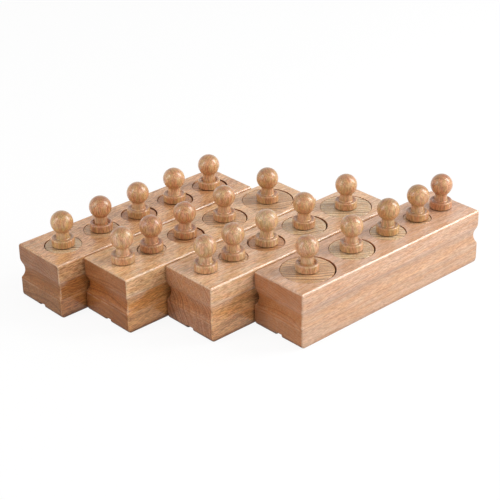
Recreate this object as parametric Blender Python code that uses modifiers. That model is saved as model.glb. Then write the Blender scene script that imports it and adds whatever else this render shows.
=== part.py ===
"""A set of four wooden knobbed cylinder blocks, each with five cylinders that lift out of blind holes.

Units are metres and +Z is up. The origin is on the ground, in the middle of the set as it stands.
The blocks lie side by side along X, block 1 first, and each runs along Y from its near end to its far end.
"""
import math

import bmesh
import bpy
from mathutils import Matrix, Vector

# Blocks: each is a thin upper board glued on a thick lower board
BLOCK_WIDTH = 0.050
UPPER_BOARD_THICKNESS = 0.0157
LOWER_BOARD_THICKNESS = 0.029
GLUE_GAP = 0.0003
EDGE_ROUND = 0.0015
CORNER_EASE = 0.0005
BLOCK_HEIGHT = LOWER_BOARD_THICKNESS + GLUE_GAP + UPPER_BOARD_THICKNESS

# Finger groove all round a block, an ogee with rounded lips
GROOVE_HEIGHT = 0.023
GROOVE_OPENING = 0.020
GROOVE_DEPTH = 0.00225
GROOVE_RADIUS = 0.012

# Foot of a block: rounder at the ends than at the sides, with a shallow groove along the underside
END_FOOT_ROUND = 0.004
FOOT_GROOVE_WIDTH = 0.008
FOOT_GROOVE_DEPTH = 0.003

# Wood around the holes, measured above and below the finger groove
SIDE_WALL = 0.0045
END_WALL = 0.0095
WEB_WALL = 0.008
FLOOR_WALL = 0.003

# Cylinders
CYLINDERS_PER_BLOCK = 5
SMALLEST_DIAMETER = 0.015
SHORTEST_CYLINDER = 0.012
HOLE_CLEARANCE = 0.0005
FLOOR_GAP = 0.0003
CYLINDER_EDGE = 0.0006
SEAT_SHIFT = 0.0002
TOP_SINK = 0.0008

# Knobs: flange, neck and ball turned in one piece with a tenon that is glued in the cylinder
BALL_DIAMETER = 0.0172
NECK_DIAMETER = 0.010
NECK_LENGTH = 0.00555
FLANGE_DIAMETER = 0.0176
FLANGE_HEIGHT = 0.0063
FLANGE_ROUND = 0.0015
FLANGE_GROOVE_DEPTH = 0.0005
TENON_DIAMETER = 0.006
SOCKET_FLOOR = 0.005

# How the set stands: the blocks' spacing, and each near end's setback from that of block 1
BLOCK_SPACING = 0.0015
SETBACK_2 = 0.0224
SETBACK_3 = 0.0580
SETBACK_4 = 0.0983
NEAR_SETBACKS = (0.0, SETBACK_2, SETBACK_3, SETBACK_4)

# Making: how far cutters run past what they cut, and how near two points are one
OVERRUN = 0.004
WELD_DISTANCE = 0.00001

# Facets of round shapes
HOLE_SIDES = 24
KNOB_SIDES = 14
BALL_STEPS = 6
ROUND_STEPS = 2
LIP_STEPS = 3
GROOVE_STEPS = 6
FOOT_STEPS = 3
ROUND_PROFILE = 0.5
REAL_EDGE_DEGREES = 35
SQUARE_EDGE_DEGREES = 60

# Sizes that follow from those above
HOLE_FLOOR = FOOT_GROOVE_DEPTH + FLOOR_WALL
LARGEST_DIAMETER = BLOCK_WIDTH - 2 * (SIDE_WALL + HOLE_CLEARANCE)
TALLEST_CYLINDER = BLOCK_HEIGHT - HOLE_FLOOR - FLOOR_GAP - TOP_SINK
TENON_LENGTH = SHORTEST_CYLINDER - SOCKET_FLOOR

# How the cylinders of each block are graded in diameter and in height, from the near end
MIDDLE_SHARE = 0.5
DIAMETER_GRADES = ("middle", "growing", "growing", "shrinking")
HEIGHT_GRADES = ("growing", "greatest", "growing", "growing")

# How far each cylinder's top lies under the block's top, as a share of the deepest
TOP_SINK_SHARES = (
    (0.2, 0.3, 1.0, 0.8, 0.9),
    (0.0, 0.3, 0.8, 0.3, 0.4),
    (0.0, 0.2, 1.0, 0.4, 0.2),
    (0.2, 0.2, 0.3, 0.2, 0.0),
)

# The way that each cylinder leans in its hole, in degrees about +Z from +X
SEAT_TURNS = (
    (60, 200, 235, 250, 240),
    (100, 30, 210, 280, 225),
    (320, 160, 20, 245, 200),
    (235, 240, 230, 210, 150),
)

# Colours as seen in daylight, red, green and blue out of 255
UPPER_BOARD_COLOURS = ((190, 152, 120), (214, 168, 130), (220, 178, 142), (222, 178, 146))
LOWER_BOARD_COLOURS = ((168, 118, 82), (176, 124, 86), (178, 132, 97), (219, 172, 144))
CYLINDER_COLOURS = ((196, 156, 122), (206, 164, 128), (212, 170, 134), (212, 170, 136))
PALE_KNOB = (204, 164, 124)
HONEY_KNOB = (192, 146, 106)
RED_KNOB = (178, 118, 80)
KNOB_COLOURS = (
    (PALE_KNOB, RED_KNOB, HONEY_KNOB, HONEY_KNOB, HONEY_KNOB),
    (PALE_KNOB, RED_KNOB, RED_KNOB, HONEY_KNOB, RED_KNOB),
    (PALE_KNOB, PALE_KNOB, RED_KNOB, HONEY_KNOB, HONEY_KNOB),
    (PALE_KNOB, PALE_KNOB, PALE_KNOB, HONEY_KNOB, RED_KNOB),
)
BOARD_ROUGHNESS = 0.38
CYLINDER_ROUGHNESS = 0.42
KNOB_ROUGHNESS = 0.3


def between(least, most, share):
    """The size that lies the given share of the way from the least to the most."""
    return least + (most - least) * share


def arc(centre_along, centre_up, radius, start, end, steps):
    """Points on an arc from one angle to another, both in degrees, as (along, up)."""
    points = []
    for step in range(steps + 1):
        angle = math.radians(between(start, end, step / steps))
        points.append((centre_along + radius * math.cos(angle), centre_up + radius * math.sin(angle)))
    return points


def clear_scene():
    """Remove whatever objects the scene starts with."""
    for item in list(bpy.data.objects):
        bpy.data.objects.remove(item, do_unlink=True)


def new_collection(name):
    """Add a collection to the scene."""
    collection = bpy.data.collections.new(name)
    bpy.context.scene.collection.children.link(collection)
    return collection


def linear_colour(colour):
    """Turn a colour out of 255 into the linear values that a material takes."""
    values = []
    for channel in colour:
        value = channel / 255
        if value <= 0.04045:
            values.append(value / 12.92)
        else:
            values.append(((value + 0.055) / 1.055) ** 2.4)
    return (*values, 1.0)


def lacquered_wood(name, colour, roughness):
    """A wood finish of one piece."""
    material = bpy.data.materials.new(name)
    material.use_nodes = True
    shader = material.node_tree.nodes["Principled BSDF"]
    shader.inputs["Base Color"].default_value = linear_colour(colour)
    shader.inputs["Roughness"].default_value = roughness
    shader.inputs["Metallic"].default_value = 0.0
    material.diffuse_color = linear_colour(colour)
    return material


def finish(piece, colour, roughness):
    """Give a piece its own material on the object, so that pieces may share a mesh."""
    if not piece.data.materials:
        piece.data.materials.append(None)
    piece.material_slots[0].link = "OBJECT"
    piece.material_slots[0].material = lacquered_wood(piece.name, colour, roughness)


def graded_sizes(grade, least, most):
    """A size for each cylinder of a block, from its near end."""
    sizes = []
    for index in range(CYLINDERS_PER_BLOCK):
        rising_share = index / (CYLINDERS_PER_BLOCK - 1)
        shares = {
            "middle": MIDDLE_SHARE,
            "greatest": 1.0,
            "growing": rising_share,
            "shrinking": 1.0 - rising_share,
        }
        sizes.append(between(least, most, shares[grade]))
    return sizes


def diameters(block):
    """The diameters of a block's cylinders, from its near end."""
    return graded_sizes(DIAMETER_GRADES[block], SMALLEST_DIAMETER, LARGEST_DIAMETER)


def heights(block):
    """The heights of a block's cylinders, from its near end."""
    return graded_sizes(HEIGHT_GRADES[block], SHORTEST_CYLINDER, TALLEST_CYLINDER)


def top_sinks(block):
    """How far the top of each of a block's cylinders lies under the block's top."""
    return [TOP_SINK * picked(TOP_SINK_SHARES, block, index) for index in range(CYLINDERS_PER_BLOCK)]


def picked(table, block, index):
    """A cylinder's entry in a table with one row for each block."""
    row = table[block]
    return row[index % len(row)]


def block_length():
    """The length of a block: its holes, the webs between them and the two end walls."""
    mean_hole = between(SMALLEST_DIAMETER, LARGEST_DIAMETER, MIDDLE_SHARE) + 2 * HOLE_CLEARANCE
    holes = CYLINDERS_PER_BLOCK * mean_hole
    webs = (CYLINDERS_PER_BLOCK - 1) * WEB_WALL
    return holes + webs + 2 * END_WALL


def hole_places(block):
    """How far each hole's centre lies from the block's near end."""
    places = []
    edge = END_WALL
    for diameter in diameters(block):
        hole = diameter + 2 * HOLE_CLEARANCE
        places.append(edge + hole / 2)
        edge += hole + WEB_WALL
    return places


def groove_rows():
    """The outline of the finger groove, from its lower lip to its upper lip, as (depth, up)."""
    half_opening = GROOVE_OPENING / 2
    reach = half_opening ** 2 + GROOVE_DEPTH ** 2 - 2 * GROOVE_DEPTH * GROOVE_RADIUS
    lip_radius = reach / (2 * GROOVE_DEPTH)
    sweep = math.degrees(math.asin(half_opening / (lip_radius + GROOVE_RADIUS)))
    floor_centre = GROOVE_DEPTH - GROOVE_RADIUS
    rows = arc(lip_radius, GROOVE_HEIGHT - half_opening, lip_radius, 180, 180 - sweep, LIP_STEPS)
    rows += arc(floor_centre, GROOVE_HEIGHT, GROOVE_RADIUS, -sweep, sweep, GROOVE_STEPS)[1:-1]
    rows += arc(lip_radius, GROOVE_HEIGHT + half_opening, lip_radius, 180 + sweep, 180, LIP_STEPS)
    return rows


def round_end_edges(shape, up, radius, steps):
    """Round the two edges that run across a block's ends at one height."""
    edges = []
    for edge in shape.edges:
        start, end = (vertex.co for vertex in edge.verts)
        at_height = max(abs(start.z - up), abs(end.z - up)) < WELD_DISTANCE
        if at_height and abs(start.y - end.y) < WELD_DISTANCE:
            edges.append(edge)
    bmesh.ops.bevel(
        shape, geom=edges, offset=radius, segments=steps, profile=ROUND_PROFILE, affect="EDGES"
    )


def draw_in_groove(shape):
    """Add the groove's rows of points all round a block, then draw each row in by its depth."""
    middle = block_length() / 2
    rows = groove_rows()
    for _, up in rows:
        whole = [*shape.verts, *shape.edges, *shape.faces]
        bmesh.ops.bisect_plane(shape, geom=whole, plane_co=(0.0, 0.0, up), plane_no=(0.0, 0.0, 1.0))
    for vertex in shape.verts:
        for depth, up in rows:
            if abs(vertex.co.z - up) < WELD_DISTANCE:
                vertex.co.x -= math.copysign(depth, vertex.co.x)
                vertex.co.y -= math.copysign(depth, vertex.co.y - middle)


def block_blank():
    """A whole block with its ends rounded and its finger groove, but square long and upright edges."""
    shape = bmesh.new()
    bmesh.ops.create_cube(shape, size=1)
    size = Matrix.Diagonal((BLOCK_WIDTH, block_length(), BLOCK_HEIGHT, 1.0))
    bmesh.ops.transform(shape, matrix=size, verts=shape.verts)
    bmesh.ops.translate(shape, vec=(0.0, block_length() / 2, BLOCK_HEIGHT / 2), verts=shape.verts)
    round_end_edges(shape, BLOCK_HEIGHT, EDGE_ROUND + CORNER_EASE, ROUND_STEPS)
    round_end_edges(shape, 0.0, END_FOOT_ROUND, FOOT_STEPS)
    draw_in_groove(shape)
    mesh = bpy.data.meshes.new("block_blank")
    shape.to_mesh(mesh)
    shape.free()
    shade_round_faces(mesh)
    return mesh


def shade_round_faces(mesh):
    """Shade a mesh smooth, apart from its real edges."""
    mesh.shade_smooth()
    mesh.set_sharp_from_angle(angle=math.radians(REAL_EDGE_DEGREES))


def box_cutter(name, low, high, parent, collection):
    """A box-shaped cutter between two corners."""
    shape = bmesh.new()
    bmesh.ops.create_cube(shape, size=1)
    size = Vector(high) - Vector(low)
    middle = (Vector(high) + Vector(low)) / 2
    bmesh.ops.transform(shape, matrix=Matrix.Diagonal((*size, 1.0)), verts=shape.verts)
    bmesh.ops.translate(shape, vec=middle, verts=shape.verts)
    return add_cutter(name, shape, parent, collection)


def hole_cutter(name, block, parent, collection):
    """One cutter with the shapes of all the holes of a block."""
    shape = bmesh.new()
    for place, diameter, height, sink in zip(
        hole_places(block), diameters(block), heights(block), top_sinks(block)
    ):
        radius = diameter / 2 + HOLE_CLEARANCE
        low = BLOCK_HEIGHT - sink - height - FLOOR_GAP
        high = BLOCK_HEIGHT + OVERRUN
        plug = bmesh.ops.create_cone(
            shape, cap_ends=True, segments=HOLE_SIDES, radius1=radius, radius2=radius, depth=high - low
        )
        bmesh.ops.translate(shape, vec=(0.0, place, (low + high) / 2), verts=plug["verts"])
    return add_cutter(name, shape, parent, collection)


def add_cutter(name, shape, parent, collection):
    """Put a cutter's shape in the scene, as a wire that isn't part of the object."""
    mesh = bpy.data.meshes.new(name)
    shape.to_mesh(mesh)
    shape.free()
    shade_round_faces(mesh)
    cutter = bpy.data.objects.new(name, mesh)
    cutter.parent = parent
    cutter.display_type = "WIRE"
    cutter.hide_render = True
    collection.objects.link(cutter)
    return cutter


def add_board(name, blank, base, kept_space, cutters, colour, collection):
    """One board of a block: the rounded blank, kept inside a space and cut by the cutters."""
    board = bpy.data.objects.new(name, blank)
    board.parent = base
    collection.objects.link(board)
    rounding = board.modifiers.new("rounded_edges", "BEVEL")
    rounding.limit_method = "ANGLE"
    rounding.angle_limit = math.radians(SQUARE_EDGE_DEGREES)
    rounding.width = EDGE_ROUND
    rounding.segments = ROUND_STEPS
    split = board.modifiers.new("split", "BOOLEAN")
    split.operation = "INTERSECT"
    split.solver = "EXACT"
    split.object = kept_space
    for cutter in cutters:
        cut = board.modifiers.new(cutter.name, "BOOLEAN")
        cut.operation = "DIFFERENCE"
        cut.solver = "EXACT"
        cut.object = cutter
    finish(board, colour, BOARD_ROUGHNESS)
    return board


def half_outline(name, profile):
    """A mesh of the (radius, height) points of a turned piece, joined by edges in the plane Y = 0."""
    mesh = bpy.data.meshes.new(name)
    points = [(radius, 0.0, up) for radius, up in profile]
    edges = [(index, index + 1) for index in range(len(points) - 1)]
    mesh.from_pydata(points, edges, [])
    return mesh


def turned_piece(name, mesh, sides, parent, collection):
    """A piece turned on a lathe: its half outline, swept round +Z."""
    piece = bpy.data.objects.new(name, mesh)
    piece.parent = parent
    collection.objects.link(piece)
    turning = piece.modifiers.new("turned", "SCREW")
    turning.axis = "Z"
    turning.steps = sides
    turning.render_steps = sides
    turning.use_merge_vertices = True
    turning.merge_threshold = WELD_DISTANCE
    turning.use_smooth_shade = True
    return piece


def cylinder_profile(diameter, height):
    """The points of a cylinder with its socket, from the socket's floor over the rim to the bottom."""
    radius = diameter / 2
    socket_radius = TENON_DIAMETER / 2 + GLUE_GAP
    socket_floor = height - TENON_LENGTH - GLUE_GAP
    return [
        (0.0, socket_floor),
        (socket_radius, socket_floor),
        (socket_radius, height),
        (radius - CYLINDER_EDGE, height),
        (radius, height - CYLINDER_EDGE),
        (radius, 0.0),
        (0.0, 0.0),
    ]


def knob_profile():
    """The points of a knob, from the top of its ball down to the foot of its tenon."""
    ball_radius = BALL_DIAMETER / 2
    neck_radius = NECK_DIAMETER / 2
    flange_radius = FLANGE_DIAMETER / 2
    tenon_radius = TENON_DIAMETER / 2
    ball_foot = -math.acos(neck_radius / ball_radius)
    ball_centre = FLANGE_HEIGHT + NECK_LENGTH - ball_radius * math.sin(ball_foot)
    profile = arc(0.0, ball_centre, ball_radius, 90, math.degrees(ball_foot), BALL_STEPS)
    profile[0] = (0.0, ball_centre + ball_radius)
    profile.append((neck_radius, FLANGE_HEIGHT - FLANGE_GROOVE_DEPTH))
    round_centre = (flange_radius - FLANGE_ROUND, FLANGE_HEIGHT - FLANGE_ROUND)
    profile += arc(*round_centre, FLANGE_ROUND, 90, 0, ROUND_STEPS)
    profile += [
        (flange_radius, 0.0),
        (tenon_radius, 0.0),
        (tenon_radius, -TENON_LENGTH),
        (0.0, -TENON_LENGTH),
    ]
    return profile


def add_block(block, blank, knob_outline, spaces, pieces, cutters):
    """One block with its boards, its cylinders and their knobs."""
    name = f"block_{block + 1}"
    set_width = len(NEAR_SETBACKS) * (BLOCK_WIDTH + BLOCK_SPACING) - BLOCK_SPACING
    set_length = block_length() + max(NEAR_SETBACKS)
    base = bpy.data.objects.new(name, None)
    base.location = (
        (BLOCK_WIDTH - set_width) / 2 + block * (BLOCK_WIDTH + BLOCK_SPACING),
        NEAR_SETBACKS[block] - set_length / 2,
        0.0,
    )
    pieces.objects.link(base)
    holes = hole_cutter(name + "_holes", block, base, cutters)
    foot_groove = box_cutter(
        name + "_foot_groove",
        (-FOOT_GROOVE_WIDTH / 2, -OVERRUN, -OVERRUN),
        (FOOT_GROOVE_WIDTH / 2, block_length() + OVERRUN, FOOT_GROOVE_DEPTH),
        base,
        cutters,
    )
    upper_space, lower_space = spaces
    upper_colour = UPPER_BOARD_COLOURS[block]
    lower_colour = LOWER_BOARD_COLOURS[block]
    add_board(name + "_upper_board", blank, base, upper_space, [holes], upper_colour, pieces)
    add_board(name + "_lower_board", blank, base, lower_space, [holes, foot_groove], lower_colour, pieces)
    for index in range(CYLINDERS_PER_BLOCK):
        height = heights(block)[index]
        turn = math.radians(picked(SEAT_TURNS, block, index))
        cylinder_name = f"{name}_cylinder_{index + 1}"
        cylinder_outline = half_outline(cylinder_name, cylinder_profile(diameters(block)[index], height))
        cylinder = turned_piece(cylinder_name, cylinder_outline, HOLE_SIDES, base, pieces)
        cylinder.location = (
            SEAT_SHIFT * math.cos(turn),
            hole_places(block)[index] + SEAT_SHIFT * math.sin(turn),
            BLOCK_HEIGHT - top_sinks(block)[index] - height,
        )
        finish(cylinder, CYLINDER_COLOURS[block], CYLINDER_ROUGHNESS)
        knob = turned_piece(f"{name}_knob_{index + 1}", knob_outline, KNOB_SIDES, cylinder, pieces)
        knob.location = (0.0, 0.0, height + GLUE_GAP)
        finish(knob, picked(KNOB_COLOURS, block, index), KNOB_ROUGHNESS)


def add_board_spaces(cutters):
    """The two spaces, above and below the glue line, that split every block into its boards."""
    reach = BLOCK_WIDTH * len(NEAR_SETBACKS) + block_length()
    glue_line = LOWER_BOARD_THICKNESS
    upper = box_cutter(
        "upper_board_space",
        (-reach, -reach, glue_line + GLUE_GAP),
        (reach, reach, BLOCK_HEIGHT + OVERRUN),
        None,
        cutters,
    )
    lower = box_cutter(
        "lower_board_space",
        (-reach, -reach, -OVERRUN),
        (reach, reach, glue_line),
        None,
        cutters,
    )
    return upper, lower


def build_set():
    """The whole set."""
    clear_scene()
    pieces = new_collection("knobbed_cylinder_blocks")
    cutters = new_collection("cutters")
    blank = block_blank()
    spaces = add_board_spaces(cutters)
    knob_outline = half_outline("knob", knob_profile())
    for block in range(len(NEAR_SETBACKS)):
        add_block(block, blank, knob_outline, spaces, pieces, cutters)


build_set()
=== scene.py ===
"""Four knobbed cylinder blocks in lacquered beech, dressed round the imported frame.

Everything is in metres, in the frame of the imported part: +Z is up, the blocks lie side by side
along X, and each runs along Y from its near end. The grain runs along Y in the boards, and along
Z in the cylinders and their knobs.
"""

import math

import bmesh
import bpy
from mathutils import Matrix, Vector


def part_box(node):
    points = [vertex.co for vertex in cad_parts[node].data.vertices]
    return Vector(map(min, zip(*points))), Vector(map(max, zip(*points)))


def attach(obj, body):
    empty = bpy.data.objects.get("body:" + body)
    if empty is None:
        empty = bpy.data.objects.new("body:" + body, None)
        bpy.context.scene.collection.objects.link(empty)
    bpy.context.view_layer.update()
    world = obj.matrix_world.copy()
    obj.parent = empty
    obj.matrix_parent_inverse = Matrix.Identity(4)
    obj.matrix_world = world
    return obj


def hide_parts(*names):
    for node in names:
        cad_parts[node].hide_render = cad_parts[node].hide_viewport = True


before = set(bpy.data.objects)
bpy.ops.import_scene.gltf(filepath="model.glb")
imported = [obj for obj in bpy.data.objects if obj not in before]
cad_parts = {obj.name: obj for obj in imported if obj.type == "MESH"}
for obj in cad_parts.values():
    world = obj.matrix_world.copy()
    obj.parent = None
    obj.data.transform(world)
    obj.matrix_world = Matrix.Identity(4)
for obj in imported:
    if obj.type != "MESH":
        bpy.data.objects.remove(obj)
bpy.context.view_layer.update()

MM = 0.001
MM_PER_METRE = 1000.0

# Camera, as the photograph was taken
CAMERA_AZIMUTH = 47.652
CAMERA_ELEVATION = 28.122
CAMERA_ROLL = -0.769
CAMERA_ASIDE = -2.69 * MM
CAMERA_ABOVE = 21.71 * MM
CAMERA_DISTANCE = 1167.8 * MM
LENS = 108.01
SENSOR = 36.0
NEAREST_SEEN = 0.05
FARTHEST_SEEN = 50.0

# Studio lamps: where each one shines from, its size across and up, its distance and its strength
LAMP_DISTANCE = 1.3
LAMPS = (
    {"name": "window", "towards": (0.47, 0.65, 0.60), "size": (0.42, 0.85), "strength": 0.74},
    {"name": "front", "towards": (-0.26, -0.75, 0.61), "size": (0.28, 0.44), "strength": 0.17},
    {"name": "side", "towards": (0.88, 0.15, 0.40), "size": (0.90, 0.80), "strength": 0.29},
    {"name": "fill", "towards": (-0.42, -0.89, 0.16), "size": (0.80, 0.60), "strength": 0.22},
)
WARM_LAMPS = ("side", "fill")
WARM_LIGHT = (1.0, 0.94, 0.87)
ROOM_LIGHT = 0.45
WHITE = (1.0, 1.0, 1.0, 1.0)

# Floor: the colour with which it throws light back, and how much of its look is lit paper
FLOOR_REACH = 6.0
FLOOR_COLOUR = (0.80, 0.80, 0.80, 1.0)
FLOOR_LIT_SHARE = 0.09
FLOOR_DROP = 0.02 * MM

# Blocks
BLOCKS = 4
CYLINDERS_PER_BLOCK = 5
GLUE_LINE_WIDTH = 0.10 * MM
EDGE_ROUND = 1.5 * MM
END_TOP_ROUND = 2.0 * MM
END_FOOT_ROUND = 4.0 * MM
SHARPEST_CORNER = 0.3 * MM
EASED_EDGE_POWER = 1.4
GROOVE_HEIGHT = 23.6 * MM
GROOVE_DEPTH = 2.25 * MM
GROOVE_RADIUS = 12 * MM
GROOVE_LOWER_LIP_RADIUS = 3 * MM
GROOVE_UPPER_LIP_RADIUS = 11 * MM
FOOT_GROOVE_WIDTH = 8 * MM
FOOT_GROOVE_DEPTH = 4 * MM
END_WALL = 9.5 * MM
WEB_WALL = 8 * MM
HOLE_CLEARANCE = 0.5 * MM
LEAN_GAP = 0.57 * MM
CLOSEST_GAP = 0.18 * MM
HOLE_MOUTH_ROUND = 0.2 * MM
FLOOR_GAP = 0.3 * MM

# Cylinders and knobs
CYLINDER_TOP_ROUND = 0.5 * MM
CYLINDER_FOOT_ROUND = 0.4 * MM
SOCKET_RADIUS = 3.1 * MM
TENON_RADIUS = 3 * MM
TENON_LENGTH = 7 * MM
GLUE_GAP = 0.3 * MM
SEAT_GAP = 0.02 * MM
BALL_RADIUS = 8.6 * MM
CREASE_HEIGHT = 0.5 * MM
CREASE_DEGREES = 2.0
NECK_RADIUS = 5.0 * MM
NECK_TOP = 11.85 * MM
NECK_WAIST = 1.6 * MM
NECK_WAIST_DEPTH = 0.12 * MM
NECK_FOOT_DEPTH = 0.08 * MM
FLANGE_RADIUS = 8.8 * MM
FLANGE_HEIGHT = 6.3 * MM
FLANGE_ROUND = 1.3 * MM
FLANGE_FOOT_ROUND = 0.7 * MM
DISH_FLOOR = 5.6 * MM
DISH_FILLET = 1.1 * MM
DISH_END_DEGREES = 262
BEAD_START_DEGREES = 128
DEEP_DISH_FLOOR = 4.6 * MM
DEEP_DISH_KNOBS = ("block_4_knob_1", "block_1_knob_5", "block_1_knob_2")

# How far each cylinder leans to one side of its hole, in each block from the near end
LEAN_SHARES = (
    (0.5, 0.2, 0.5, 0.6, 0.6),
    (0.2, 0.4, 0.7, 0.8, 0.4),
    (0.2, 0.3, 0.9, 1.0, 0.3),
    (1.0, 0.9, 0.4, 0.3, 0.5),
)

# Making: how far cutting shapes overrun, when points are one, and how finely each round is divided
OVERRUN = 4 * MM
SAME_PLACE = 0.002 * MM
HOLE_SIDES = 96
KNOB_SIDES = 72
EDGE_STEPS = 6
CORNER_STEPS = 6
GROOVE_STEPS = 10
MOUTH_STEPS = 4
RIM_STEPS = 5
CYLINDER_FOOT_STEPS = 3
BALL_STEPS = 30
DISH_STEPS = 7
BEAD_STEPS = 12
FLANGE_FOOT_STEPS = 4
SMOOTH_DEGREES = 35
FLAT_FACE_WEIGHT = 100

# Each piece's own number, which sets it apart in the wood
OWN_START = 0.137
OWN_STEP = 0.618034
PIECES_PER_BLOCK = 12

# Colours in daylight, out of 255
FLECK_TINT = (150, 96, 60)
WARM_TINT = (255, 243, 228)
# Painted light: a warm painted bounce for the groove on the ends, and a cooler painted shade for the flat
# below its lower lip
GROOVE_BOUNCE_TINT = (251, 237, 219)
FLAT_SHADE_TINT = (247, 244, 246)
# Painted highlight: the pale tone on rounded edges and on the lip, also used for the painted light on
# knob necks
PAINTED_LIGHT_TONE = (250, 226, 198)
PINK_TINT = (255, 232, 222)
YELLOW_TINT = (250, 248, 222)
# Painted shade: the dark tone along the foot of the boards and knobs
FOOT_SHADE_TINT = (84, 50, 34)

# Boards: light and dark wood, the tint of the ends, the turn of the rings in degrees, and the figure
BOARDS = {
    "block_1_upper": {
        "wood": ((241, 196, 152), (161, 117, 82)),
        "end": (184, 171, 170),
        "turn": 84.0,
        "figure": {"Ring Width": 2.6, "Rings": 0.40, "Streaks": 0.60, "Flecks": 0.50},
    },
    "block_1_lower": {
        "wood": ((211, 149, 90), (148, 98, 55)),
        "end": (204, 212, 231),
        "turn": 96.0,
        "figure": {"Ring Width": 3.4, "Rings": 0.55, "Streaks": 0.60, "Flecks": 0.50},
    },
    "block_2_upper": {
        "wood": ((248, 210, 168), (174, 136, 101)),
        "end": (176, 142, 115),
        "turn": 98.0,
        "figure": {"Ring Width": 3.0, "Rings": 0.45, "Streaks": 0.55, "Flecks": 0.45},
    },
    "block_2_lower": {
        "wood": ((231, 172, 108), (160, 111, 66)),
        "end": (192, 174, 155),
        "turn": 88.0,
        "figure": {"Ring Width": 3.8, "Rings": 0.60, "Streaks": 0.55, "Flecks": 0.45},
    },
    "block_3_upper": {
        "wood": ((241, 205, 171), (175, 138, 108)),
        "end": (207, 184, 172),
        "turn": 12.0,
        "figure": {"Ring Width": 2.2, "Rings": 0.55, "Streaks": 0.50, "Flecks": 0.30},
    },
    "block_3_lower": {
        "wood": ((241, 187, 133), (165, 121, 81)),
        "end": (212, 205, 220),
        "turn": 14.0,
        "figure": {"Ring Width": 4.2, "Rings": 0.85, "Streaks": 0.55, "Flecks": 0.30},
    },
    "block_4_upper": {
        "wood": ((226, 188, 160), (160, 121, 97)),
        "end": (221, 192, 168),
        "turn": 80.0,
        "figure": {
            "Ring Width": 2.4,
            "Rings": 0.40,
            "Streaks": 0.42,
            "Flecks": 0.15,
            "Mottle": 0.15,
        },
    },
    "block_4_lower": {
        "wood": ((215, 178, 149), (165, 129, 104)),
        "end": (228, 201, 170),
        "turn": 86.0,
        "figure": {
            "Ring Width": 2.6,
            "Rings": 0.45,
            "Streaks": 0.45,
            "Flecks": 0.18,
            "Mottle": 0.15,
            "Foot On Sides": 0.3,
        },
    },
}
BOARD_LOOK = {"Clouds": 0.30, "Roughness": 0.40, "Coat": 0.90, "End Coat": 0.15}

# Cylinders, in each block from the near end
CYLINDER_WOODS = {
    "light": ((255, 235, 200), (164, 135, 108)),
    "sand": ((249, 211, 169), (153, 119, 88)),
    # The brown wood is a darker copy of the cylinder wood: painted shade for cylinder tops that lie in
    # shade
    "shaded brown": ((238, 186, 137), (146, 102, 70)),
}
CYLINDERS = (
    ("light", "sand", "shaded brown", "shaded brown", "shaded brown"),
    ("sand", "sand", "shaded brown", "sand", "sand"),
    ("sand", "sand", "shaded brown", "light", "light"),
    ("sand", "light", "light", "sand", "sand"),
)
CYLINDER_END = (236, 232, 228)
CYLINDER_LOOK = {
    "Rings": 1.25,
    "Streaks": 0.40,
    "Flecks": 0.35,
    "Clouds": 0.35,
    "Roughness": 0.42,
    "Coat": 0.6,
    "End Coat": 0.7,
}

# Knobs, in each block from the near end
KNOB_WOODS = {
    "cream": ((241, 213, 178), (184, 158, 127)),
    "pale": ((227, 192, 157), (174, 140, 108)),
    "straw": ((219, 183, 136), (165, 130, 91)),
    "honey": ((234, 197, 156), (177, 138, 104)),
    "amber": ((223, 185, 143), (169, 132, 96)),
    "russet": ((221, 176, 137), (160, 117, 85)),
}
KNOBS = (
    ("straw", "russet", "honey", "honey", "honey"),
    ("pale", "russet", "russet", "honey", "amber"),
    ("pale", "pale", "cream", "amber", "honey"),
    ("pale", "pale", "straw", "amber", "russet"),
)
KNOB_END = (222, 212, 204)
KNOB_LOOK = {
    "Rings": 0.55,
    "Streaks": 0.6,
    "Flecks": 0.3,
    "Clouds": 0.4,
    "Mottle": 0.9,
    "Roughness": 0.3,
    "Coat": 1.0,
    "End Coat": 1.0,
}

# Where each piece lies in the tree, in millimetres and degrees. A pair holds a start and a spread
TREE_LENGTH = 900.0
MOST_BOARD_TILT = 1.6
BOARD_HEART = 74.0
CYLINDER_HEART = 71.2
CYLINDER_TURN = (34.0, 16.0)
CYLINDER_RING_WIDTH = (2.3, 0.8)
MOST_KNOB_TILT = 3.0
KNOB_HEART = (34.0, 20.0)
KNOB_RING_WIDTH = (2.4, 1.2)

# Figure: each kind of lump has its size in millimetres, its noise's detail and its mask's limits
LUMPS = {
    "fine fibres": {"size": (0.55, 0.55, 4.4), "detail": 2.0, "roughness": 0.6, "limits": (0.43, 0.57)},
    "broad fibres": {"size": (2.2, 2.2, 30.0), "detail": 2.0, "roughness": 0.55, "limits": (0.34, 0.66)},
    "growth layers": {"size": (0.7, 7.0, 18.0), "detail": 2.0, "roughness": 0.6, "limits": (0.36, 0.64)},
    "clouds": {"size": (17.0, 17.0, 95.0), "detail": 1.0, "roughness": 0.5, "limits": (0.3, 0.7)},
    "fleck patches": {"size": (14.0, 14.0, 50.0), "detail": 1.0, "roughness": 0.5, "limits": (0.35, 0.6)},
    "warm streaks": {"size": (3.0, 3.0, 26.0), "detail": 1.0, "roughness": 0.5, "limits": (0.35, 0.65)},
    "pink patches": {"size": (2.6, 2.6, 7.0), "detail": 1.0, "roughness": 0.5, "limits": (0.42, 0.58)},
    # Patches in which the painted light on edges and necks shows more
    "painted light patches": {"size": (5.0, 5.0, 9.0), "detail": 2.0, "roughness": 0.5, "limits": (0.40, 0.60)},
}
FEWEST_FLECKS = 0.3
# The least share of the painted light between its patches
LEAST_PAINTED_LIGHT = 0.3
WANDER_SIZE = (34.0, 34.0, 120.0)
WANDER_REACH = (11.0, 11.0, 0.0)
MM_ROUND_PER_RADIAN = 60.0
UNEVEN_YEARS_SIZE = (9.0, 400.0, 900.0)
UNEVEN_YEARS = 3.0
LATE_WOOD_START = 0.45
WINTER_START = 0.93
FAINTEST_YEAR = 0.35
FLECK_SIZE = (2.0, 2.0, 8.0)
FLECK_LIMITS = (0.10, 0.28)

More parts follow.
